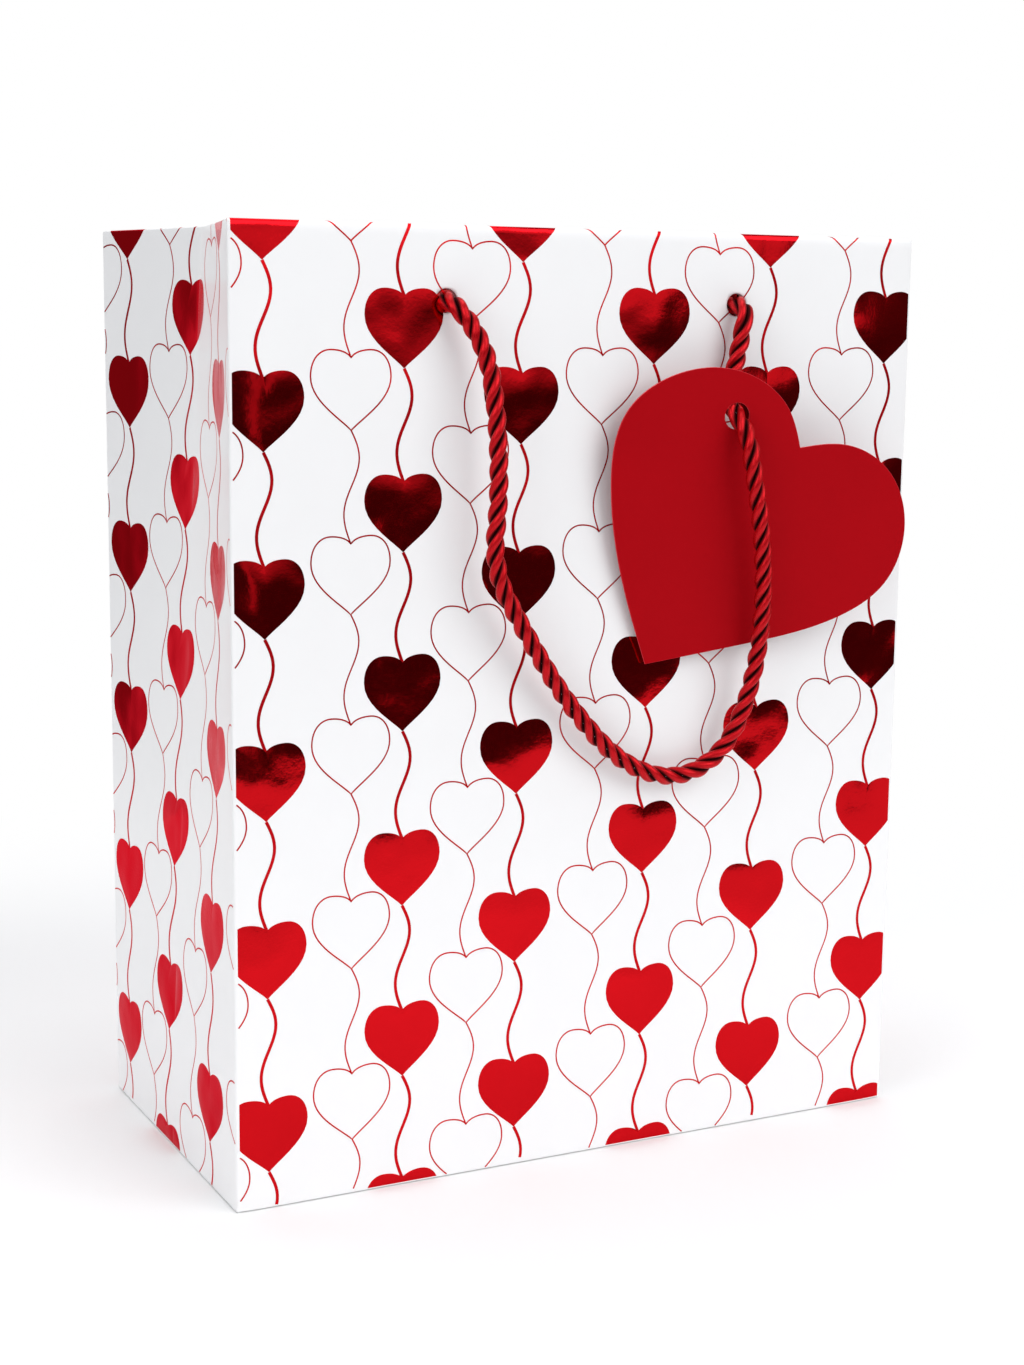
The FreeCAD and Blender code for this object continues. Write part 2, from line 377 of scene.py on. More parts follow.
def side_slack(y, z, side):
    """How far inside its folded plane a side lies at y, z: each half bows in a little, with a slow
    ripple, both fading out down to SIDE_BOW_START and falling to half at the top."""
    sizes = bpy.context.scene.gift_bag_sizes
    half = np.clip(np.abs(y) / SIDE_ROOM, 0.0, 1.0)
    across = 4 * half * (1 - half)
    up = smooth_step((z - SIDE_BOW_START) / BOW_RISE) * (0.5 + 0.5 * smooth_step((HEIGHT - z) / BOW_RISE))
    ripple = 1.0 + np.sin(z / (13 * MM) + y / (9 * MM) + side) * np.cos(y / (15 * MM))
    return across * up * (SIDE_BOW * sizes.bow + SIDE_RIPPLE * sizes.ripple * ripple)


def front_or_back(end, x, inset, z):
    """Point of the front (end -1) or back (end 1) wall at x and z, inset from its outer face."""
    y = end * (HALF_DEPTH - inset - wall_slack(x, z, end))
    return np.stack(np.broadcast_arrays(x, y, z), axis=-1)


def side_wall(side, y, inset, z):
    """Point of the left (side -1) or right (side 1) wall at y and z. Its depth falls off from the
    crease as 1 - sqrt(y^2 + s^2) / room, which rounds the bottom of the crease."""
    soft = bpy.context.scene.gift_bag_sizes.crease_softness
    fold = np.clip(1 - (np.sqrt(y * y + soft * soft) - soft) / SIDE_ROOM, 0.0, 1.0)
    x = side * (HALF_WIDTH - inset - crease_depth(z) * fold - side_slack(y, z, side))
    return np.stack(np.broadcast_arrays(x, y, z), axis=-1)


def over_the_top(distance, radius, lift):
    """Inset and height at a distance up the sheet: straight up the wall, round a half circle of
    the given radius at the top, and straight down the hem, lifted off the printed face."""
    start = HEIGHT - radius
    turn = np.clip((distance - start) / radius, 0.0, math.pi)
    past = np.maximum(distance - start - math.pi * radius, 0.0)
    inset = radius * (1 - np.cos(turn)) - lift * np.cos(turn)
    z = np.minimum(distance, start) + (radius + lift) * np.sin(turn) - past
    return inset, z


FOLD_RADIUS = {"front": HEM_FACE / 2, "back": HEM_FACE / 2, "left": PAPER, "right": PAPER}
OUTER_HALF = {"front": HALF_WIDTH, "back": HALF_WIDTH, "left": HALF_DEPTH, "right": HALF_DEPTH}


def on_sheet(wall, across, distance, lift):
    """Point of a wall's printed face from its place across, seen from outside, and its distance
    up the sheet, which goes on over the top fold and down the hem."""
    inset, z = over_the_top(distance, FOLD_RADIUS[wall], lift)
    if wall == "front":
        return front_or_back(-1, across, inset, z)
    if wall == "back":
        return front_or_back(1, -across, inset, z)
    if wall == "right":
        return side_wall(1, across, inset, z)
    return side_wall(-1, -across, inset, z)


# ---------------------------------------------------------------- materials


def new_material(name, rough=0.5, metal=0.0, specular=0.5, coat=0.0, coat_rough=0.1):
    """A Principled material with its constant values on the shader's own sockets."""
    material = bpy.data.materials.new(name)
    material.use_nodes = True
    shader = material.node_tree.nodes["Principled BSDF"]
    shader.inputs["Roughness"].default_value = rough
    shader.inputs["Metallic"].default_value = metal
    shader.inputs["Specular IOR Level"].default_value = specular
    shader.inputs["Coat Weight"].default_value = coat
    shader.inputs["Coat Roughness"].default_value = coat_rough
    return material, material.node_tree, shader


def feed(tree, value, socket):
    """Links a socket into an input, or sets the input's own value."""
    if hasattr(value, "node"):
        tree.links.new(value, socket)
    else:
        socket.default_value = value


def fill_inputs(tree, node, values):
    """Feeds a node's inputs by name, with _ for the spaces in a name."""
    for key, value in values.items():
        feed(tree, value, node.inputs[key.replace("_", " ")])
    return node


def add_node(tree, kind, **values):
    """A shader node with its inputs fed."""
    return fill_inputs(tree, tree.nodes.new("ShaderNode" + kind), values)


def group_node(tree, group, **values):
    """Places a node group in a material with its own values."""
    node = tree.nodes.new("ShaderNodeGroup")
    node.node_tree = group
    return fill_inputs(tree, node, values)


def new_group(name, inputs, outputs):
    """A shader node group with named float or colour sockets."""
    group = bpy.data.node_groups.new(name, "ShaderNodeTree")
    for key, kind, value in inputs:
        socket = group.interface.new_socket(key, in_out="INPUT", socket_type=kind)
        socket.default_value = value
    for key, kind in outputs:
        group.interface.new_socket(key, in_out="OUTPUT", socket_type=kind)
    return group, group.nodes.new("NodeGroupInput"), group.nodes.new("NodeGroupOutput")


def math_node(tree, operation, *values):
    """A Math node whose two inputs are sockets or numbers."""
    node = tree.nodes.new("ShaderNodeMath")
    node.operation = operation
    for socket, value in zip(node.inputs, values):
        feed(tree, value, socket)
    return node.outputs[0]


def product(tree, *values):
    """The product of sockets and numbers."""
    result = values[0]
    for value in values[1:]:
        result = math_node(tree, "MULTIPLY", result, value)
    return result


def linear(tree, value, slope, start):
    """start plus slope times a socket."""
    return math_node(tree, "ADD", start, math_node(tree, "MULTIPLY", value, slope))


def noise_node(tree, vector, scale, detail, rough=0.5):
    """Three dimensional noise on the given coordinates. scale is a number or a socket."""
    node = add_node(tree, "TexNoise", Vector=vector, Scale=scale, Detail=detail, Roughness=rough)
    return node.outputs["Fac"]


def scaled_colour(tree, colour, level):
    """A colour, given as a socket or as numbers, times a socket."""
    node = add_node(tree, "VectorMath", Vector=colour)
    node.operation = "SCALE"
    tree.links.new(level, node.inputs["Scale"])
    return node.outputs[0]


def object_place(tree):
    """The coordinates of the piece itself."""
    return tree.nodes.new("ShaderNodeTexCoord").outputs["Object"]


def fibre_group():
    """Felted paper fibre: fine noise for a height, and a slow mottle that shifts the colour and gloss."""
    group, inner, outer = new_group(
        "Paper fibre",
        [("Colour", "NodeSocketColor", (1, 1, 1, 1)), ("Mottle", "NodeSocketFloat", 0.02),
         ("Fibre scale", "NodeSocketFloat", 2600.0), ("Gloss", "NodeSocketFloat", 0.5),
         ("Gloss change", "NodeSocketFloat", 0.06)],
        [("Colour", "NodeSocketColor"), ("Height", "NodeSocketFloat"), ("Roughness", "NodeSocketFloat")],
    )
    given = inner.outputs
    place = object_place(group)
    slow = math_node(group, "SUBTRACT", noise_node(group, place, 60.0, 3.0, 0.55), 0.5)
    fill_inputs(group, outer, {
        "Colour": scaled_colour(group, given["Colour"], linear(group, slow, given["Mottle"], 1.0)),
        "Height": noise_node(group, place, given["Fibre scale"], 3.0, 0.6),
        "Roughness": linear(group, slow, given["Gloss change"], given["Gloss"]),
    })
    return group


def bump_to(tree, shader, height, strength, distance):
    """Feeds a height into the shader's normal."""
    bump = add_node(tree, "Bump", Height=height, Strength=strength, Distance=distance)
    tree.links.new(bump.outputs["Normal"], shader.inputs["Normal"])


def card_material(name, group, colour, mottle, fibre, rough, change, strength, distance, **finish):
    """Paper or card: fibre, mottle and gloss from the shared group."""
    _, tree, shader = new_material(name, rough=rough, **finish)
    fibres = group_node(tree, group, Colour=(*colour, 1.0), Mottle=mottle, Fibre_scale=fibre,
                        Gloss=rough, Gloss_change=change).outputs
    fill_inputs(tree, shader, {"Base Color": fibres["Colour"], "Roughness": fibres["Roughness"]})
    bump_to(tree, shader, fibres["Height"], strength, distance)


def foil_material(name, colour, rough):
    """Stamped foil: a red metal whose surface carries the paper's slow unevenness and fine grain.
    rough is its least roughness, which is what tells polished hearts from duller lines."""
    _, tree, shader = new_material(name, rough=rough, metal=1.0)
    place = object_place(tree)
    slow = noise_node(tree, place, 38.0, 2.0, 0.5)
    fine = noise_node(tree, place, 900.0, 3.0, 0.6)
    fill_inputs(tree, shader, {
        "Specular Tint": (1.0, 0.50, 0.54, 1.0),
        "Base Color": scaled_colour(tree, colour, linear(tree, slow, 0.16, 0.92)),
        "Roughness": linear(tree, fine, 0.10, rough),
    })
    bump_to(tree, shader, linear(tree, fine, 0.012, slow), 1.0, 1.3 * MM)


def rope_material(colour):
    """Satin yarn: fine lines that follow each strand, and painted shade that darkens the colour down in the
    grooves between strands, where it is duller too.
    """
    _, tree, shader = new_material("Satin rope", rough=0.3, metal=0.45, specular=0.9)
    strand_map = tree.nodes.new("ShaderNodeUVMap")
    strand_map.uv_map = "Strand"
    stretch = add_node(tree, "Mapping", Vector=strand_map.outputs["UV"], Scale=(60.0, 5.0, 1.0))
    yarn = noise_node(tree, stretch.outputs["Vector"], 1.0, 3.0, 0.6)
    # Painted shade read from the rope's points: 1 down in the grooves between strands, 0 on their tops
    groove_shade = tree.nodes.new("ShaderNodeAttribute")
    groove_shade.attribute_name = "groove_shade"
    deep = groove_shade.outputs["Fac"]
    # Colour level: painted shade down in the grooves times the yarn lines
    light = product(tree, linear(tree, deep, -0.97, 1.0), linear(tree, yarn, 0.76, 0.62))
    fill_inputs(tree, shader, {
        "Specular Tint": (1.0, 0.16, 0.19, 1.0),
        "Base Color": scaled_colour(tree, colour, light),
        "Roughness": linear(tree, deep, 0.6, 0.21),
    })
    bump_to(tree, shader, yarn, 0.6, 0.08 * MM)


def repaint(names, material):
    """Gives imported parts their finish."""
    for name in names:
        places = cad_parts[name].material_slots
        if not places:
            raise RuntimeError(name + " has no material slot to repaint")
        for place in places:
            place.link = "OBJECT"
            place.material = material


def finish_of(name):
    """A finish made earlier by the finishes operator."""
    return bpy.data.materials[name]


# ---------------------------------------------------------------- ropes


def spline_points(name, points):
    """Points along a smooth NURBS spline with the given control points, as Blender works them out."""
    curve = bpy.data.curves.new(name, "CURVE")
    curve.dimensions = "3D"
    spline = curve.splines.new("NURBS")
    spline.points.add(len(points) - 1)
    spline.points.foreach_set("co", np.hstack([points, np.ones((len(points), 1))]).ravel())
    spline.order_u = 3
    spline.use_endpoint_u = True
    spline.resolution_u = 16
    holder = bpy.data.objects.new(name, curve)
    bpy.context.scene.collection.objects.link(holder)
    bpy.context.view_layer.update()
    line = bpy.data.meshes.new_from_object(holder)
    found = np.zeros(len(line.vertices) * 3)
    line.vertices.foreach_get("co", found)
    bpy.data.meshes.remove(line)
    bpy.data.objects.remove(holder)
    bpy.data.curves.remove(curve)
    return found.reshape(-1, 3)


def even_steps(line, step):
    """The same line with its points at equal steps along its length."""
    along = np.concatenate([[0], np.cumsum(np.linalg.norm(np.diff(line, axis=0), axis=1))])
    count = int(round(along[-1] / step)) + 1
    wanted = np.linspace(0, along[-1], count)
    return np.stack([np.interp(wanted, along, line[:, k]) for k in range(3)], axis=1), wanted


def unit(vectors):
    """Vectors made one long."""
    return vectors / np.linalg.norm(vectors, axis=-1, keepdims=True)


def twisted_rope(name, line, middle, diameter, lay, step=0.6 * MM, around=30):
    """Three strands laid round a line. A strand's centre is C + h (cos a N + sin a B) with a growing
    by one turn in each lay, N pointing from the line to the middle of the loop and B square to it.
    The strand's surface is a circle round that centre, square to the strand, with yarn ridges whose
    angle turns the other way. Both ends are drawn in to a point. The attribute of painted shade is 1
    near the line and 0 outside, darkening the strands down in the grooves between them, and the UV
    map Strand has turns round and along a strand."""
    centre, along = even_steps(line, step)
    tangent = unit(np.gradient(centre, axis=0))
    inward = np.asarray(middle) - centre
    normal = unit(inward - (inward * tangent).sum(1, keepdims=True) * tangent)
    binormal = np.cross(tangent, normal)
    ring = np.linspace(0, 2 * math.pi, around, endpoint=False)
    taper = np.ones(len(along))
    taper[:3], taper[-3:] = END_TAPER, END_TAPER[::-1]
    shapes, strand_uv, groove_shade = Shapes(), [], []
    for strand in range(3):
        angle = 2 * math.pi * (along / lay + strand / 3)
        radial = np.cos(angle)[:, None] * normal + np.sin(angle)[:, None] * binormal
        middle_line = centre + STRAND_OFFSET * diameter * radial
        forward = unit(np.gradient(middle_line, axis=0))
        radial = unit(radial - (radial * forward).sum(1, keepdims=True) * forward)
        sideways = np.cross(forward, radial)
        yarn = YARNS * (ring[None, :] + 2 * math.pi * along[:, None] / (YARN_LAY * lay))
        ridge = 1 + YARN_RIDGE * (np.abs(np.cos(yarn / 2)) - 0.6)
        size = STRAND_RADIUS * diameter * ridge * taper[:, None]
        surface = (middle_line[:, None, :]
                   + size[..., None] * np.cos(ring)[None, :, None] * radial[:, None, :]
                   + size[..., None] * np.sin(ring)[None, :, None] * sideways[:, None, :])
        faces = grid_faces(len(along), around, close_columns=True)[:, ::-1].tolist()
        count = len(along) * around
        faces += [list(range(around)), list(range(count - 1, count - around - 1, -1))]
        shapes.add(surface, faces)
        twist = ring[None, :] / (2 * math.pi) + along[:, None] / (YARN_LAY * lay)
        turns = np.broadcast_to(along[:, None] / lay, twist.shape)
        strand_uv.append(np.stack([twist + 7 * strand, turns], axis=-1))
        # Painted shade: how deep in the grooves between strands a point lies, from its distance to the rope's
        # line
        share = np.linalg.norm(surface - centre[:, None, :], axis=-1) / (0.5 * diameter)
        groove_shade.append(smooth_step((0.95 - share) / 0.30))
    piece = new_piece(name, np.vstack(shapes.points), shapes.faces)
    per_point = np.concatenate([uv.reshape(-1, 2) for uv in strand_uv])
    corners = np.zeros(len(piece.data.loops), int)
    piece.data.loops.foreach_get("vertex_index", corners)
    piece.data.uv_layers.new(name="Strand").data.foreach_set("uv", per_point[corners].ravel())
    point_values(piece, "groove_shade", np.concatenate([g.ravel() for g in groove_shade]))
    piece.data.materials.append(finish_of("Satin rope"))
    return piece, centre


def placed(route, end):
    """Route points in the bag's frame. end is -1 in front of the bag, 1 behind it."""
    return np.array([(x, end * (HALF_DEPTH + stand), HOLE_Z - drop) for x, stand, drop in route])


def hole_route(points, side):
    """Points given from a hole, placed at the hole on one side (-1 left, 1 right)."""
    return [(side * (HOLE_X - x), stand, drop) for x, stand, drop in points]


# ---------------------------------------------------------------- printed hearts


def bezier(points, count):
    """Cubic Bezier through four points, sampled evenly in its parameter, without its last point."""
    t = np.linspace(0, 1, count, endpoint=False)[:, None]
    p0, p1, p2, p3 = np.array(points, float)
    return (1 - t) ** 3 * p0 + 3 * t * (1 - t) ** 2 * p1 + 3 * t ** 2 * (1 - t) * p2 + t ** 3 * p3


# The heart as drawn: its width, and the heights of its cleft and of its top in that width
HEART_DRAWN = 19.5
HEART_CLEFT = 16.2 / HEART_DRAWN
HEART_TOP = 18.0 / HEART_DRAWN

# Foil: how far its back is sunk into the paper and its face stands off it, how far the middle of a
# filled heart stands out beyond its edge, the rings that carry that, and the widths of the lines
FOIL_BACK = -0.03 * MM
FOIL_FACE = 0.035 * MM
FOIL_SWELL = 0.10 * MM
FOIL_RINGS = (0.86, 0.72, 0.56, 0.38, 0.18)
LONGEST_EDGE = 1.5 * MM
SOLID_LINE = 0.78 * MM
THIN_LINE = 0.35 * MM
STRING_SWING = 1.9 * MM

# Limits of the print: above the base, half way across each wall, and down the hem
PRINT_FOOT = 0.4 * MM
PRINT_HALF = {wall: half - 0.9 * MM for wall, half in OUTER_HALF.items()}
PRINT_END = HEIGHT + (HEIGHT - HEM_FOOT) - 0.8 * MM
LOBE_SHARE = 0.86  # a heart that crosses the top fold is made of rows up to this share of its height


def heart_outline(width, count):
    """Closed outline of a heart with its tip at the origin, anticlockwise: three Bezier curves up
    the right side, from the tip to the widest point, the top of the lobe and the cleft, and their
    mirror image back down. count points go to each curve."""
    curves = [
        [(0, 0), (2.6, 2.7), (9.75, 6.6), (9.75, 12.0)],
        [(9.75, 12.0), (9.75, 15.6), (7.8, 18.0), (4.9, 18.0)],
        [(4.9, 18.0), (2.7, 18.0), (0.8, 17.4), (0, 16.2)],
    ]
    right = np.vstack([bezier(curve, count) for curve in curves])
    left = (right[1:] * (-1, 1))[::-1]
    return np.vstack([right, curves[-1][-1:], left]) * (width / HEART_DRAWN)


def cut(outline, axis, limit, keep):
    """The part of a closed outline on one side of a line. keep is -1 below the limit, 1 above."""
    if len(outline) < 3:
        return outline
    after = np.roll(outline, -1, axis=0)
    inside = keep * (outline[:, axis] - limit) >= 0
    crossing = inside != np.roll(inside, -1)
    run = after[:, axis] - outline[:, axis]
    share = np.where(crossing, (limit - outline[:, axis]) / np.where(run == 0, 1, run), 0)
    meets = outline + (after - outline) * share[:, None]
    both = np.stack([outline, meets], axis=1).reshape(-1, 2)
    return both[np.stack([inside, crossing], axis=1).ravel()]


def close_points(outline, longest):
    """A closed outline with points added along each edge that is longer than a length."""
    parts = []
    for start, end in zip(outline, np.roll(outline, -1, axis=0)):
        steps = max(1, math.ceil(np.linalg.norm(end - start) / longest))
        parts.append(start + (end - start) * (np.arange(steps) / steps)[:, None])
    return np.vstack(parts)


def filled_plate(shapes, wall, outline):
    """Closed plate over an outline: rings shrunk towards its middle on both faces, and a rim. Its
    outer face swells by FOIL_SWELL (1 - s^2), with s the ring's share of the outline."""
    outline = close_points(outline, LONGEST_EDGE)
    middle = outline.mean(axis=0)
    rings = [outline] + [middle + share * (outline - middle) for share in FOIL_RINGS]
    flat = np.vstack(rings + [middle[None, :]])
    count, levels = len(outline), len(rings)
    share = np.append(np.repeat((1.0, *FOIL_RINGS), count), 0.0)
    top = on_sheet(wall, flat[:, 0], flat[:, 1], FOIL_FACE + FOIL_SWELL * (1 - share ** 2))
    bottom = on_sheet(wall, flat[:, 0], flat[:, 1], FOIL_BACK)
    around = np.arange(count)
    following = np.roll(around, -1)
    last = (levels - 1) * count
    upper = grid_faces(levels, count, close_columns=True).tolist()
    upper += np.stack([last + around, last + following, np.full(count, levels * count)], axis=1).tolist()
    under = [[i + len(flat) for i in face[::-1]] for face in upper]
    rim = np.stack([around, around + len(flat), following + len(flat), following], axis=1).tolist()
    shapes.add(np.vstack([top, bottom]), upper + under + rim)


def ribbon(shapes, wall, path, width, closed=False):
    """Closed flat line along a path on a wall: four corners at each point, half the width to each
    side, on the foil's back and face."""
    if closed:
        ahead = np.roll(path, -1, axis=0) - np.roll(path, 1, axis=0)
    else:
        ahead = np.gradient(path, axis=0)
    left = unit(np.stack([-ahead[:, 1], ahead[:, 0]], axis=1)) * width / 2
    corners = [(path + left, FOIL_BACK), (path - left, FOIL_BACK),
               (path - left, FOIL_FACE), (path + left, FOIL_FACE)]
    points = np.stack([on_sheet(wall, flat[:, 0], flat[:, 1], lift) for flat, lift in corners], axis=1)
    last = 4 * len(path) - 1
    faces = grid_faces(len(path), 4, close_rows=closed, close_columns=True)[:, ::-1].tolist()
    if not closed:
        faces += [[0, 1, 2, 3], [last, last - 1, last - 2, last - 3]]
    shapes.add(points, faces)


def runs_inside(path, half):
    """The stretches of a path that lie within the limits of the print, as separate paths."""
    keep = (np.abs(path[:, 0]) <= half) & (path[:, 1] >= PRINT_FOOT) & (path[:, 1] <= PRINT_END)
    edges = np.flatnonzero(np.diff(keep.astype(int))) + 1
    runs = zip(np.split(path, edges), np.split(keep, edges))
    return [run for run, kept in runs if kept[0] and len(run) > 2]


def across_fold(shapes, wall, tip, outline):
    """Filled heart that runs over the top fold: rows up the sheet, close together on the fold,
    each from the left side to the right side of the outline, and a plate above for the lobes."""
    radius, half, columns = FOLD_RADIUS[wall], PRINT_HALF[wall], 9
    start, stop = HEIGHT - radius, HEIGHT - radius + math.pi * radius
    split = tip[1] + outline[:, 1].max() * LOBE_SHARE
    right = outline[: int(np.argmax(outline[:, 1])) + 1] + tip
    rows = np.concatenate([
        np.linspace(tip[1] + 0.08 * MM, start, 9, endpoint=False),
        np.linspace(start, stop, 9),
        np.linspace(stop, split, 6)[1:],
    ])
    reach = np.interp(rows, right[:, 1], right[:, 0] - tip[0])
    across = np.clip(tip[0] + reach[:, None] * np.linspace(-1, 1, columns)[None, :], -half, half)
    height = np.broadcast_to(rows[:, None], across.shape)
    top = on_sheet(wall, across, height, FOIL_FACE).reshape(-1, 3)
    under = on_sheet(wall, across, height, FOIL_BACK).reshape(-1, 3)
    upper = grid_faces(len(rows), columns)
    index = np.arange(len(top)).reshape(across.shape)
    edge = np.concatenate([index[0], index[1:, -1], index[-1, -2::-1], index[-2:0:-1, 0]])
    following = np.roll(edge, -1)
    rim = np.stack([edge, edge + len(top), following + len(top), following], axis=1)
    shapes.add(np.vstack([top, under]), np.vstack([upper, upper[:, ::-1] + len(top), rim]))
    lobes = cut(cut(cut(outline + tip, 1, split, 1), 0, half, -1), 0, -half, 1)
    if len(lobes) > 3:
        filled_plate(shapes, wall, lobes)


def filled_heart(shapes, wall, outline):
    """Filled heart on a flat stretch of sheet, cut at the limits of the print. On a side it is cut
    at the crease as well, where a plate can't bend."""
    half = PRINT_HALF[wall]
    for axis, limit, keep in ((0, half, -1), (0, -half, 1), (1, PRINT_FOOT, 1), (1, PRINT_END, -1)):
        outline = cut(outline, axis, limit, keep)
    parts = [outline]
    if wall in ("left", "right"):
        parts = [cut(outline, 0, 0, -1), cut(outline, 0, 0, 1)]
    for part in parts:
        if len(part) > 3 and np.ptp(part[:, 0]) > 0.3 * MM:
            filled_plate(shapes, wall, part)


def outline_heart(shapes, wall, loop, closer_loop):
    """Outline of a heart as one closed line, or as the stretches of it that lie on the sheet."""
    inside = np.abs(loop[:, 0]).max() <= PRINT_HALF[wall] and loop[:, 1].min() > PRINT_FOOT
    if inside and loop[:, 1].max() <= PRINT_END:
        ribbon(shapes, wall, loop, THIN_LINE, closed=True)
    else:
        for part in runs_inside(closer_loop, PRINT_HALF[wall]):
            ribbon(shapes, wall, part, THIN_LINE)


def string_path(across, tip, foot, count):
    """Path of a string from a tip down to the cleft below: it swings to the side by sin(2 pi s)
    times a falling width, with s the share of the way down."""
    share = np.linspace(0, 1, count)
    swing = STRING_SWING * np.sin(2 * math.pi * share) * (1.12 - 0.28 * share)
    return np.stack([across + swing, tip - (tip - foot) * share], axis=1)


def printed_wall(wall, columns):
    """All hearts and strings of one wall as two meshes of thin closed plates and lines. Each
    column has hearts a pitch apart, and a string from each tip to the cleft below it. What runs
    over the top fold has more points."""
    sizes = bpy.context.scene.gift_bag_sizes
    width, pitch = sizes.heart_width, sizes.heart_pitch
    near_fold = 4 * MM
    plates, lines = Shapes(), Shapes()
    coarse, medium, fine, finest = [heart_outline(width, count) for count in (9, 14, 24, 60)]
    for across, lowest, solid in columns:
        for tip in lowest + pitch * np.arange(-1, 7):
            place = np.array([across, tip])
            crosses = tip < HEIGHT < tip + HEART_TOP * width
            if solid and crosses:
                across_fold(plates, wall, place, fine)
            elif solid:
                filled_heart(plates, wall, coarse + place)
            else:
                outline_heart(lines, wall, (finest if crosses else medium) + place, finest + place)
            foot = tip - pitch + HEART_CLEFT * width
            over = foot < HEIGHT + near_fold and tip > HEIGHT - near_fold
            path = string_path(across, tip, foot, 90 if over else 26)
            for part in runs_inside(path, PRINT_HALF[wall]):
                ribbon(lines, wall, part, SOLID_LINE if solid else THIN_LINE)
    for name, made, finish in (
            ("_foil_print", plates, "Stamped foil"), ("_foil_lines", lines, "Foil lines")):
        piece = new_piece(wall + name, np.vstack(made.points), made.faces)
        piece.data.set_sharp_from_angle(angle=math.radians(35))
        piece.data.materials.append(finish_of(finish))
        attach(piece, "bag")


# ---------------------------------------------------------------- operators


def area_light(name, place, size, power):
    """A square soft box aimed at the bag."""
    data = bpy.data.lights.new(name, "AREA")
    data.shape = "RECTANGLE"
    data.size = data.size_y = size
    data.energy = power
    lamp = bpy.data.objects.new(name, data)
    lamp.location = place
    lamp.rotation_mode = "QUATERNION"
    lamp.rotation_quaternion = (lamp.location - Vector(LIGHT_TARGET)).to_track_quat("Z", "Y")
    bpy.context.scene.collection.objects.link(lamp)


def rise(tree, value, low, high):
    """A smooth step of a socket from 0 at low to 1 at high."""
    node = add_node(tree, "MapRange", Value=value, From_Min=low, From_Max=high)
    node.interpolation_type = "SMOOTHSTEP"
    return node.outputs["Result"]


def fall(tree, value, low, high, start=1.0):
    """A smooth step of a socket down from start at low to start - 1 at high."""
    return math_node(tree, "SUBTRACT", start, rise(tree, value, low, high))


def mix_shaders(tree, share, first, second):
    """The second shader in place of the first one by a share."""
    node = tree.nodes.new("ShaderNodeMixShader")
    for socket, value in zip(node.inputs, (share, first, second)):
        tree.links.new(value, socket)
    return node.outputs[0]


def mirrored_room(tree):
    """What foil mirrors beyond the floor, by the direction of the mirrored ray. ahead is its angle
    from straight in front of the bag towards the right side, behind its angle from straight
    behind towards the left side. In front is a dark room with a dim wall from just below eye
    level, a brighter band from eye level up, both ending to the right, and a narrow strip of
    light. Behind is a pale wall that darkens to the left."""
    way = add_node(tree, "SeparateXYZ", Vector=tree.nodes.new("ShaderNodeTexCoord").outputs["Generated"])
    x, y, z = way.outputs
    ahead = math_node(tree, "ARCTAN2", x, math_node(tree, "MULTIPLY", y, -1.0))
    behind = math_node(tree, "ARCTAN2", math_node(tree, "MULTIPLY", x, -1.0), y)
    wall = product(tree, rise(tree, z, -0.095, 0.0), 0.35,
                   fall(tree, ahead, 0.50, 0.60, 1.06), rise(tree, ahead, 0.24, 0.27))
    band = product(tree, rise(tree, z, 0.006, 0.022), 0.80, fall(tree, ahead, 0.585, 0.625, 1.05))
    strip = product(tree, rise(tree, ahead, 0.25, 0.265), 0.50,
                    fall(tree, ahead, 0.31, 0.33), rise(tree, z, -0.17, -0.13))
    bright = math_node(tree, "MAXIMUM", math_node(tree, "MAXIMUM", wall, band), strip)
    front = math_node(tree, "ADD", bright, 0.052)
    back = linear(tree, rise(tree, behind, 0.38, 0.72), -0.60, 0.86)
    share = rise(tree, y, -0.15, 0.15)
    front = math_node(tree, "MULTIPLY", front, math_node(tree, "SUBTRACT", 1.0, share))
    return math_node(tree, "ADD", front, math_node(tree, "MULTIPLY", back, share))


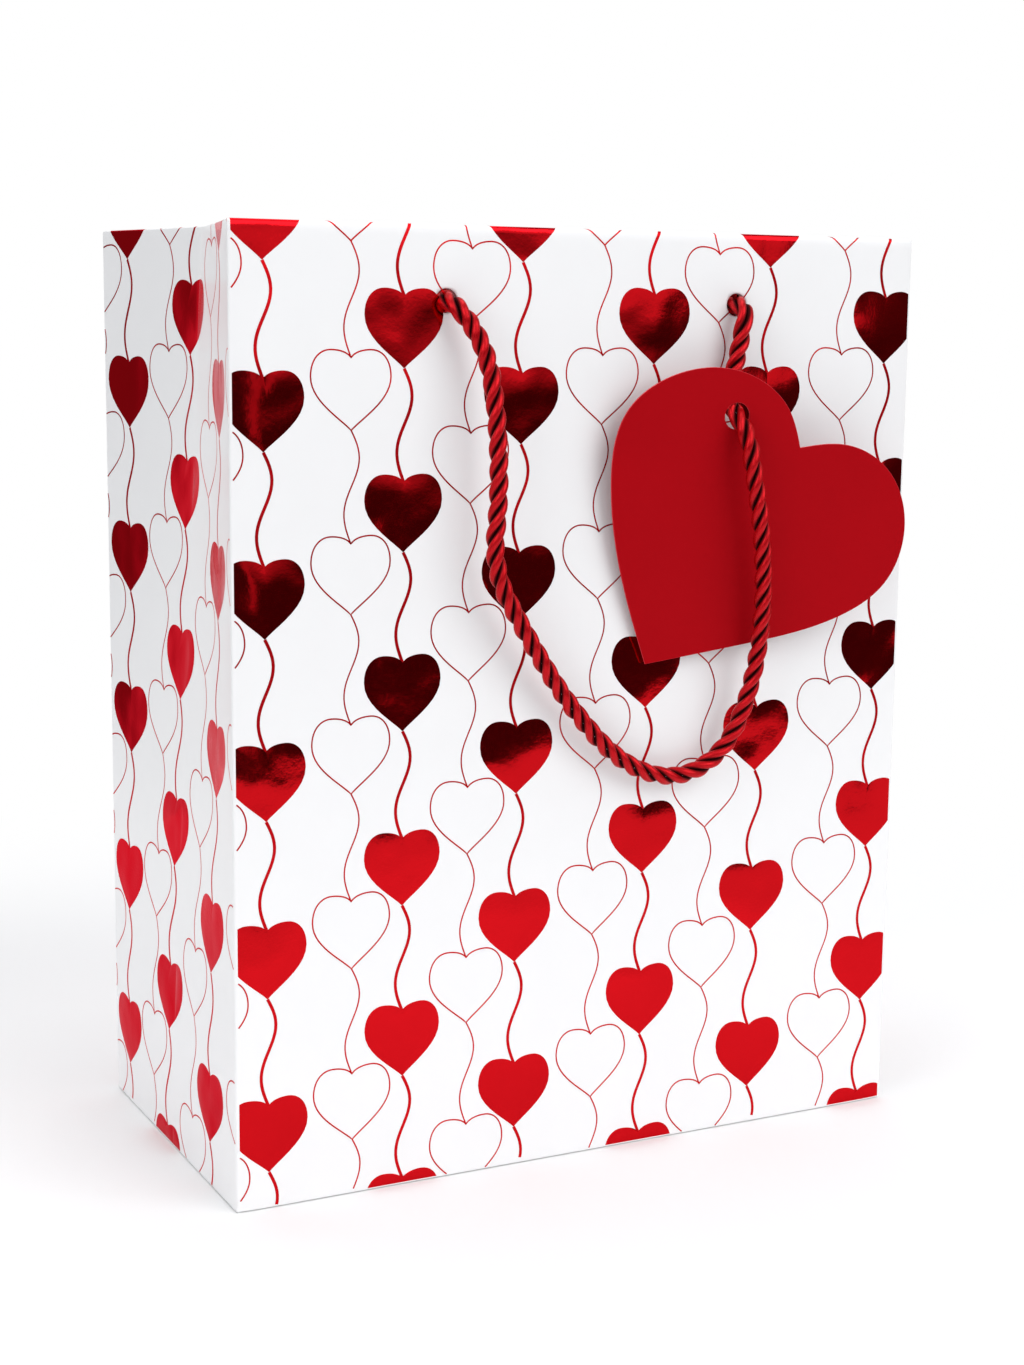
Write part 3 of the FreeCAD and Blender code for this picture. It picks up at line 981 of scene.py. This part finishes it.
class GIFTBAG_OT_stage(bpy.types.Operator):
    """Camera, floor, soft lights and a plain bright background"""

    bl_idname = "giftbag.stage"
    bl_label = "Stage"

    def execute(self, context):
        scene = context.scene
        data = bpy.data.cameras.new("Camera")
        data.lens = CAMERA_LENS
        camera = bpy.data.objects.new("Camera", data)
        camera.location = CAMERA_PLACE
        camera.rotation_euler = CAMERA_TURN
        scene.collection.objects.link(camera)
        scene.camera = camera
        scene.view_settings.view_transform = "Standard"

        rows, columns = 10, 14
        x, y = np.meshgrid(np.linspace(-0.45, 0.8, columns), np.linspace(FLOOR_FRONT, 0.45, rows))
        flat = np.stack([x, y, np.full_like(x, -0.2 * MM)], axis=-1)
        floor = new_piece("floor", flat, grid_faces(rows, columns))
        material, tree, shader = new_material("Pale floor", rough=0.7, specular=0.2)
        place = object_place(tree)
        shader.inputs["Base Color"].default_value = (0.94, 0.94, 0.94, 1.0)
        bump_to(tree, shader, noise_node(tree, place, 700.0, 2.0), 0.05, 0.05 * MM)
        away = add_node(tree, "VectorMath", Vector=place)
        away.operation = "LENGTH"
        far = rise(tree, away.outputs["Value"], 0.20, 0.38)
        glow = add_node(tree, "Emission")
        surface = mix_shaders(tree, far, shader.outputs[0], glow.outputs[0])
        tree.links.new(surface, tree.nodes["Material Output"].inputs["Surface"])
        floor.data.materials.append(material)

        world = bpy.data.worlds.new("Studio")
        scene.world = world
        world.use_nodes = True
        tree = world.node_tree
        seen = add_node(tree, "LightPath").outputs
        room = tree.nodes["Background"]
        fill_inputs(tree, room, {"Color": (0.94, 0.96, 1.0, 1.0), "Strength": 0.47})
        white = add_node(tree, "Background", Color=(1.0, 1.0, 1.0, 1.0))
        mirrored = add_node(tree, "Background", Color=mirrored_room(tree))
        gloss = mix_shaders(tree, seen["Is Glossy Ray"], room.outputs[0], mirrored.outputs[0])
        final = mix_shaders(tree, seen["Is Camera Ray"], gloss, white.outputs[0])
        tree.links.new(final, tree.nodes["World Output"].inputs["Surface"])

        area_light("key", (0.8, -1.5, 1.2), 1.6, 20)
        area_light("fill", (-1.5, -0.7, 0.8), 1.0, 7.5)
        area_light("top", (0.0, 0.3, 1.8), 1.6, 16.5)
        return {"FINISHED"}


class GIFTBAG_OT_finishes(bpy.types.Operator):
    """Papers, boards, foil, rope and tag card"""

    bl_idname = "giftbag.finishes"
    bl_label = "Finishes"

    def execute(self, context):
        colours = context.scene.gift_bag_colours
        fibres = fibre_group()
        card_material("Coated paper", fibres, colours.paper, 0.03, 2600.0, 0.34, 0.08, 0.10, 0.03 * MM,
                      coat=0.25, coat_rough=0.22)
        card_material("Uncoated paper", fibres, (0.86, 0.86, 0.85), 0.05, 1800.0, 0.72, 0.06,
                      0.35, 0.05 * MM)
        card_material("Grey board", fibres, (0.60, 0.59, 0.57), 0.16, 1200.0, 0.80, 0.08, 0.5, 0.08 * MM)
        card_material("Tag card", fibres, colours.tag, 0.10, 2200.0, 0.50, 0.06, 0.25, 0.04 * MM,
                      specular=0.03)
        card_material("Tag card edge", fibres, (0.62, 0.035, 0.05), 0.10, 2200.0, 0.6, 0.06,
                      0.25, 0.04 * MM, specular=0.1)
        foil_material("Stamped foil", colours.foil, 0.05)
        foil_material("Foil lines", colours.foil, 0.27)
        rope_material(colours.rope)
        return {"FINISHED"}


class GIFTBAG_OT_ropes(bpy.types.Operator):
    """The two twisted rope handles, from knot to knot"""

    bl_idname = "giftbag.ropes"
    bl_label = "Rope handles"

    def execute(self, context):
        sizes = context.scene.gift_bag_sizes
        for end, name, route, length in (
                (-1, "front", FRONT_ROUTE, FRONT_LENGTH), (1, "back", BACK_ROUTE, BACK_LENGTH)):
            whole = hole_route(HOLE_PASSAGE, -1) + route + hole_route(HOLE_PASSAGE, 1)[::-1]
            line = spline_points(name + "_rope_line", placed(whole, end))
            middle = (0.004, end * (HALF_DEPTH + 4 * MM), HOLE_Z - 55 * MM)
            piece, centre = twisted_rope(
                name + "_rope_strands", line, middle, sizes.rope_diameter, sizes.rope_lay)
            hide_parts(name + "_rope", name + "_left_rope_end", name + "_right_rope_end")
            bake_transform(piece)
        return {"FINISHED"}


class GIFTBAG_OT_knots(bpy.types.Operator):
    """The four knots inside the bag, each with its cut tail"""

    bl_idname = "giftbag.knots"
    bl_label = "Knots"

    def execute(self, context):
        sizes = context.scene.gift_bag_sizes
        for end, name in ((-1, "front"), (1, "back")):
            for side, side_name in ((-1, "left"), (1, "right")):
                label = "%s_%s_knot" % (name, side_name)
                line = spline_points(label + "_line", placed(hole_route(KNOT_TURNS, side), end))
                middle = (side * (HOLE_X + 0.002), end * (HALF_DEPTH - 0.0052), HOLE_Z + 0.0004)
                piece, _ = twisted_rope(label + "_strands", line, middle, 0.92 * sizes.rope_diameter,
                                        sizes.rope_lay, around=24)
                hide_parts(label)
                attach(piece, "bag")
        return {"FINISHED"}


# The paper's grid lines are a millimetre apart within HOLE_REACH of a hole's centre, and its
# squares within HOLE_WINDOW are left out for a round patch
HOLE_REACH = 6 * MM
HOLE_SPAN = np.linspace(-HOLE_REACH, HOLE_REACH, 13)
HOLE_WINDOW = 5 * MM
NEAR_TOP = [219 * MM, 222 * MM, 224.5 * MM]  # last rows of points below the top fold
CREASE_SHARES = (1.0, 0.93, 0.85, 0.76, 0.66, 0.56, 0.46, 0.37, 0.28, 0.2, 0.14, 0.09, 0.06, 0.04, 0.02)


def front_stations():
    """Places across the front and back walls for the grid: close together beside the rope holes."""
    hole = HOLE_X + HOLE_SPAN
    outer = np.concatenate([np.linspace(HOLE_X + HOLE_REACH, 86 * MM, 13)[1:], [88.5 * MM]])
    inner = np.linspace(HOLE_REACH - HOLE_X, HOLE_X - HOLE_REACH, 21)
    return np.concatenate([-outer[::-1], -hole[::-1], inner[1:-1], hole, outer])


def sheet_rows(radius):
    """Inset and height of each row of points up the wall, round a top fold of this radius and
    down the hem."""
    hole = HOLE_Z + HOLE_SPAN
    wall = np.concatenate([
        [0.0, 0.12 * MM, 0.3 * MM], np.linspace(2 * MM, HOLE_Z - HOLE_REACH, 50)[:-1], hole, NEAR_TOP])
    hem = np.concatenate([
        NEAR_TOP[::-1], hole[::-1], np.linspace(HOLE_Z - HOLE_REACH, HEM_FOOT, 6)[1:]])
    angle = np.linspace(0, math.pi, 9)
    inset = np.concatenate([
        [0.16 * MM, 0.04 * MM], np.zeros(len(wall) - 2), radius * (1 - np.cos(angle)),
        np.full(len(hem), 2 * radius)])
    height = np.concatenate([wall, HEIGHT - radius + radius * np.sin(angle), hem])
    return inset[:, None], height[:, None]


def folded_sheet(turn):
    """Grid of points round the whole sheet, for upright folds of radius turn. A fold is the
    quadratic curve (1 - t)^2 A + 2 t (1 - t) B + t^2 C from the side's last point to the wall's."""
    flat_inset, flat_z = sheet_rows(FOLD_RADIUS["front"])
    side_inset, side_z = sheet_rows(FOLD_RADIUS["left"])
    reach = HALF_DEPTH - flat_inset - turn - CORNER_DROP
    share = np.concatenate([np.negative(CREASE_SHARES), [0.0], CREASE_SHARES[::-1]])[None, :]
    across = front_stations()[None, :]

    def corner(side, end):
        """Points round one upright fold."""
        t = np.linspace(0, 1, 7)[None, 1:-1, None]
        on_side = side_wall(side, end * reach, side_inset, side_z)
        on_flat = front_or_back(end, side * (HALF_WIDTH - side_inset - turn), flat_inset, flat_z)
        tip = np.concatenate([
            side * (HALF_WIDTH - side_inset), end * (HALF_DEPTH - flat_inset - CORNER_DROP),
            0.5 * (side_z + flat_z)], axis=1)
        curve = (1 - t) ** 2 * on_side + 2 * t * (1 - t) * tip[:, None, :] + t ** 2 * on_flat
        return np.concatenate([on_side, curve, on_flat], axis=1)

    return np.concatenate([
        front_or_back(-1, across, flat_inset, flat_z),
        corner(1, -1)[:, ::-1],
        side_wall(1, reach * share, side_inset, side_z)[:, 1:-1],
        corner(1, 1),
        front_or_back(1, across[:, ::-1], flat_inset, flat_z),
        corner(-1, 1)[:, ::-1],
        side_wall(-1, -reach * share, side_inset, side_z)[:, 1:-1],
        corner(-1, -1),
    ], axis=1)


def hole_patch():
    """Rings of places round a hole's centre, from its circle out to the square window."""
    steps = np.linspace(-1, 1, 11)[:-1] * HOLE_WINDOW
    edge = np.full(10, HOLE_WINDOW)
    square = np.concatenate([
        np.stack([steps, -edge], 1), np.stack([edge, steps], 1),
        np.stack([-steps, edge], 1), np.stack([-edge, -steps], 1)])
    share = np.linspace(0, 1, 6)[:, None, None]
    return (1 - share) * unit(square) * HOLE_RADIUS + share * square


class GIFTBAG_OT_paper(bpy.types.Operator):
    """The folded sheet: four walls, rounded folds, creased sides and turned-in hem in one shell"""

    bl_idname = "giftbag.paper"
    bl_label = "Paper walls"

    def execute(self, context):
        points = folded_sheet(context.scene.gift_bag_sizes.fold_radius)
        quads = grid_faces(*points.shape[:2], close_columns=True)
        flat = points.reshape(-1, 3)
        middle = flat[quads].mean(axis=1)
        near = ((np.abs(np.abs(middle[:, 0]) - HOLE_X) < HOLE_WINDOW)
                & (np.abs(middle[:, 2] - HOLE_Z) < HOLE_WINDOW)
                & (np.abs(middle[:, 1]) > HALF_DEPTH - 2.2 * MM))
        shapes = Shapes()
        shapes.add(flat, quads[~near])
        patch = hole_patch()
        faces = grid_faces(*patch.shape[:2], close_columns=True)
        for end in (-1, 1):
            for side in (-1, 1):
                for inset, flip in ((0.0, end > 0), (HEM_FACE, end < 0)):
                    x, z = side * HOLE_X + patch[..., 0], HOLE_Z + patch[..., 1]
                    shapes.add(front_or_back(end, x, inset, z), faces if flip else faces[:, ::-1])
        piece = new_piece("paper_walls", np.vstack(shapes.points), shapes.faces, merge=2e-6)
        piece.data.materials.append(finish_of("Coated paper"))
        piece.data.materials.append(finish_of("Uncoated paper"))
        solidify(piece, PAPER)
        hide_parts("front_panel", "back_panel", "left_gusset_front", "left_gusset_rear",
                    "right_gusset_front", "right_gusset_rear",
                    "front_hem", "back_hem", "left_hem", "right_hem")
        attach(piece, "bag")

        low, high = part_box("side_seam_flap")
        x, z = np.meshgrid(np.linspace(low.x, high.x, 12), np.linspace(low.z, high.z, 40))
        lap = new_piece("side_seam_lap", front_or_back(-1, x, 2 * PAPER, z), grid_faces(*x.shape)[:, ::-1])
        lap.data.materials.append(finish_of("Uncoated paper"))
        solidify(lap, PAPER)
        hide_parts("side_seam_flap")
        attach(lap, "bag")
        return {"FINISHED"}


class GIFTBAG_OT_print(bpy.types.Operator):
    """Foil hearts and strings on the four walls and over the hem"""

    bl_idname = "giftbag.print"
    bl_label = "Foil print"

    def execute(self, context):
        printed_wall("front", FRONT_COLUMNS)
        printed_wall("left", LEFT_COLUMNS)
        printed_wall("back", BACK_COLUMNS)
        printed_wall("right", RIGHT_COLUMNS)
        return {"FINISHED"}


def through(points, count):
    """Smooth curve through points: a natural cubic spline in its chord length, sampled evenly
    without its last point. Its second differences solve one band of linear equations."""
    points = np.asarray(points, float)
    knots = np.concatenate([[0], np.cumsum(np.linalg.norm(np.diff(points, axis=0), axis=1))])
    gap = np.diff(knots)
    size = len(points)
    matrix = np.eye(size)
    inner = np.arange(1, size - 1)
    matrix[inner, inner - 1], matrix[inner, inner + 1] = gap[:-1], gap[1:]
    matrix[inner, inner] = 2 * (gap[:-1] + gap[1:])
    slope = np.diff(points, axis=0) / gap[:, None]
    right = np.zeros_like(points)
    right[1:-1] = 6 * np.diff(slope, axis=0)
    bend = np.linalg.solve(matrix, right)
    at = np.linspace(0, knots[-1], count, endpoint=False)
    k = np.clip(np.searchsorted(knots, at, side="right") - 1, 0, size - 2)
    before, after, h = (knots[k + 1] - at)[:, None], (at - knots[k])[:, None], gap[k][:, None]
    return (bend[k] * before ** 3 + bend[k + 1] * after ** 3) / (6 * h) + (
        points[k] / h - bend[k] * h / 6) * before + (points[k + 1] / h - bend[k + 1] * h / 6) * after


def fill_between(points, loops):
    """Triangles that fill a flat outline with a hole, from the index loops of both."""
    work = bmesh.new()
    number, edges = {}, []
    for loop in loops:
        ring = [work.verts.new(points[i]) for i in loop]
        number.update(zip(ring, loop))
        edges += [work.edges.new(pair) for pair in zip(ring, ring[1:] + ring[:1])]
    made = bmesh.ops.triangle_fill(work, use_beauty=True, edges=edges)["geom"]
    made = [item for item in made if isinstance(item, bmesh.types.BMFace)]
    faces = np.array([[number[corner] for corner in face.verts] for face in made])
    work.free()
    return faces


def tag_frame():
    """Hole centre and the tag's own directions: across and along the heart's axis, and out."""
    points = placed(FRONT_ROUTE, -1)
    centre = (points[TAG_RUN] + points[TAG_RUN + 1]) / 2
    stand = -centre[1] - HALF_DEPTH
    sine, cosine = math.sin(TAG_LEAN), math.cos(TAG_LEAN)
    right = -TAG_HOLE[0] * cosine - TAG_HOLE[1] * sine
    down = -TAG_HOLE[0] * sine + TAG_HOLE[1] * cosine
    tilt = (stand - TAG_CARD / 2 - TAG_TIP_GAP + TAG_TURN * right) / down
    out = unit(np.array([-TAG_TURN, -1.0, -tilt]))
    up = unit(np.array([0, 0, 1.0]) - out * out[2])
    side = np.cross(up, out)
    return centre, side * cosine - up * sine, side * sine + up * cosine, out


class GIFTBAG_OT_tag(bpy.types.Operator):
    """The heart tag on the front handle, with its punched hole and soft cut edge"""

    bl_idname = "giftbag.tag"
    bl_label = "Heart tag"

    def execute(self, context):
        centre, across, along, out = tag_frame()
        left = through([(0, 0)] + TAG_LEFT + [TAG_CLEFT], 96)
        right = through([(0, 0)] + TAG_RIGHT + [TAG_CLEFT], 96)
        outline = np.vstack([right, [TAG_CLEFT], left[1:][::-1]]) - TAG_HOLE
        turn = np.linspace(0, 2 * math.pi, 48, endpoint=False)
        hole = TAG_HOLE_RADIUS * np.stack([np.cos(turn), -np.sin(turn)], axis=1)
        half, soft = TAG_CARD / 2, TAG_SOFT_EDGE
        shapes, starts = Shapes(), []
        for loop in (outline, hole):
            ahead = unit(np.roll(loop, -1, axis=0) - np.roll(loop, 1, axis=0))
            drawn_in = loop - soft * np.stack([ahead[:, 1], -ahead[:, 0]], axis=1)
            flat = np.stack([drawn_in, loop, loop, drawn_in])
            lift = np.array([half, half - soft, soft - half, -half])[:, None, None]
            starts.append(shapes.count)
            shapes.add(centre + flat[..., :1] * across + flat[..., 1:] * along + lift * out,
                       grid_faces(4, len(loop), close_columns=True)[:, ::-1])
        edge_faces = len(shapes.faces)
        points = np.vstack(shapes.points)
        for row, flip in ((0, False), (3, True)):
            loops = [start + row * len(loop) + np.arange(len(loop))
                     for start, loop in zip(starts, (outline, hole))]
            faces = fill_between(points, loops)
            first, second, third = points[faces.T]
            wrong = ((np.cross(second - first, third - first) @ out) < 0) != flip
            faces[wrong] = faces[wrong][:, ::-1]
            shapes.faces += faces.tolist()
        piece = new_piece("heart_tag_card", points, shapes.faces, smooth=False)
        piece.data.materials.append(finish_of("Tag card"))
        piece.data.materials.append(finish_of("Tag card edge"))
        piece.data.polygons.foreach_set(
            "material_index", (np.arange(len(shapes.faces)) < edge_faces).astype(np.int32))
        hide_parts("heart_tag")
        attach(piece, "tag")
        return {"FINISHED"}


class GIFTBAG_OT_cards(bpy.types.Operator):
    """Bottom flaps, base board and the card strips inside the hem"""

    bl_idname = "giftbag.cards"
    bl_label = "Flaps and boards"

    def execute(self, context):
        repaint(["front_bottom_flap", "back_bottom_flap", "left_bottom_flap", "right_bottom_flap"],
                finish_of("Uncoated paper"))
        repaint(["bottom_board", "front_top_card", "back_top_card"], finish_of("Grey board"))
        return {"FINISHED"}


class GIFTBAG_PT_panel(bpy.types.Panel):
    """Buttons that build the bag piece by piece"""

    bl_idname = "GIFTBAG_PT_panel"
    bl_label = "Gift Bag"
    bl_space_type = "VIEW_3D"
    bl_region_type = "UI"
    bl_category = "Gift Bag"

    def draw(self, context):
        layout = self.layout
        for group in (context.scene.gift_bag_sizes, context.scene.gift_bag_colours):
            box = layout.box()
            for key in type(group).__annotations__:
                box.prop(group, key)
        for operator in STEPS:
            layout.operator(operator.bl_idname)


STEPS = (
    GIFTBAG_OT_stage,
    GIFTBAG_OT_finishes,
    GIFTBAG_OT_ropes,
    GIFTBAG_OT_knots,
    GIFTBAG_OT_paper,
    GIFTBAG_OT_print,
    GIFTBAG_OT_tag,
    GIFTBAG_OT_cards,
)
CLASSES = (GiftBagSizes, GiftBagColours, *STEPS, GIFTBAG_PT_panel)


def register():
    for item in CLASSES:
        bpy.utils.register_class(item)
    bpy.types.Scene.gift_bag_sizes = bpy.props.PointerProperty(type=GiftBagSizes)
    bpy.types.Scene.gift_bag_colours = bpy.props.PointerProperty(type=GiftBagColours)


def unregister():
    del bpy.types.Scene.gift_bag_colours
    del bpy.types.Scene.gift_bag_sizes
    for item in reversed(CLASSES):
        bpy.utils.unregister_class(item)


def main():
    """Registers the add-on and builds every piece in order."""
    register()
    for operator in STEPS:
        family, name = operator.bl_idname.split(".")
        getattr(getattr(bpy.ops, family), name)()


if __name__ == "__main__":
    main()
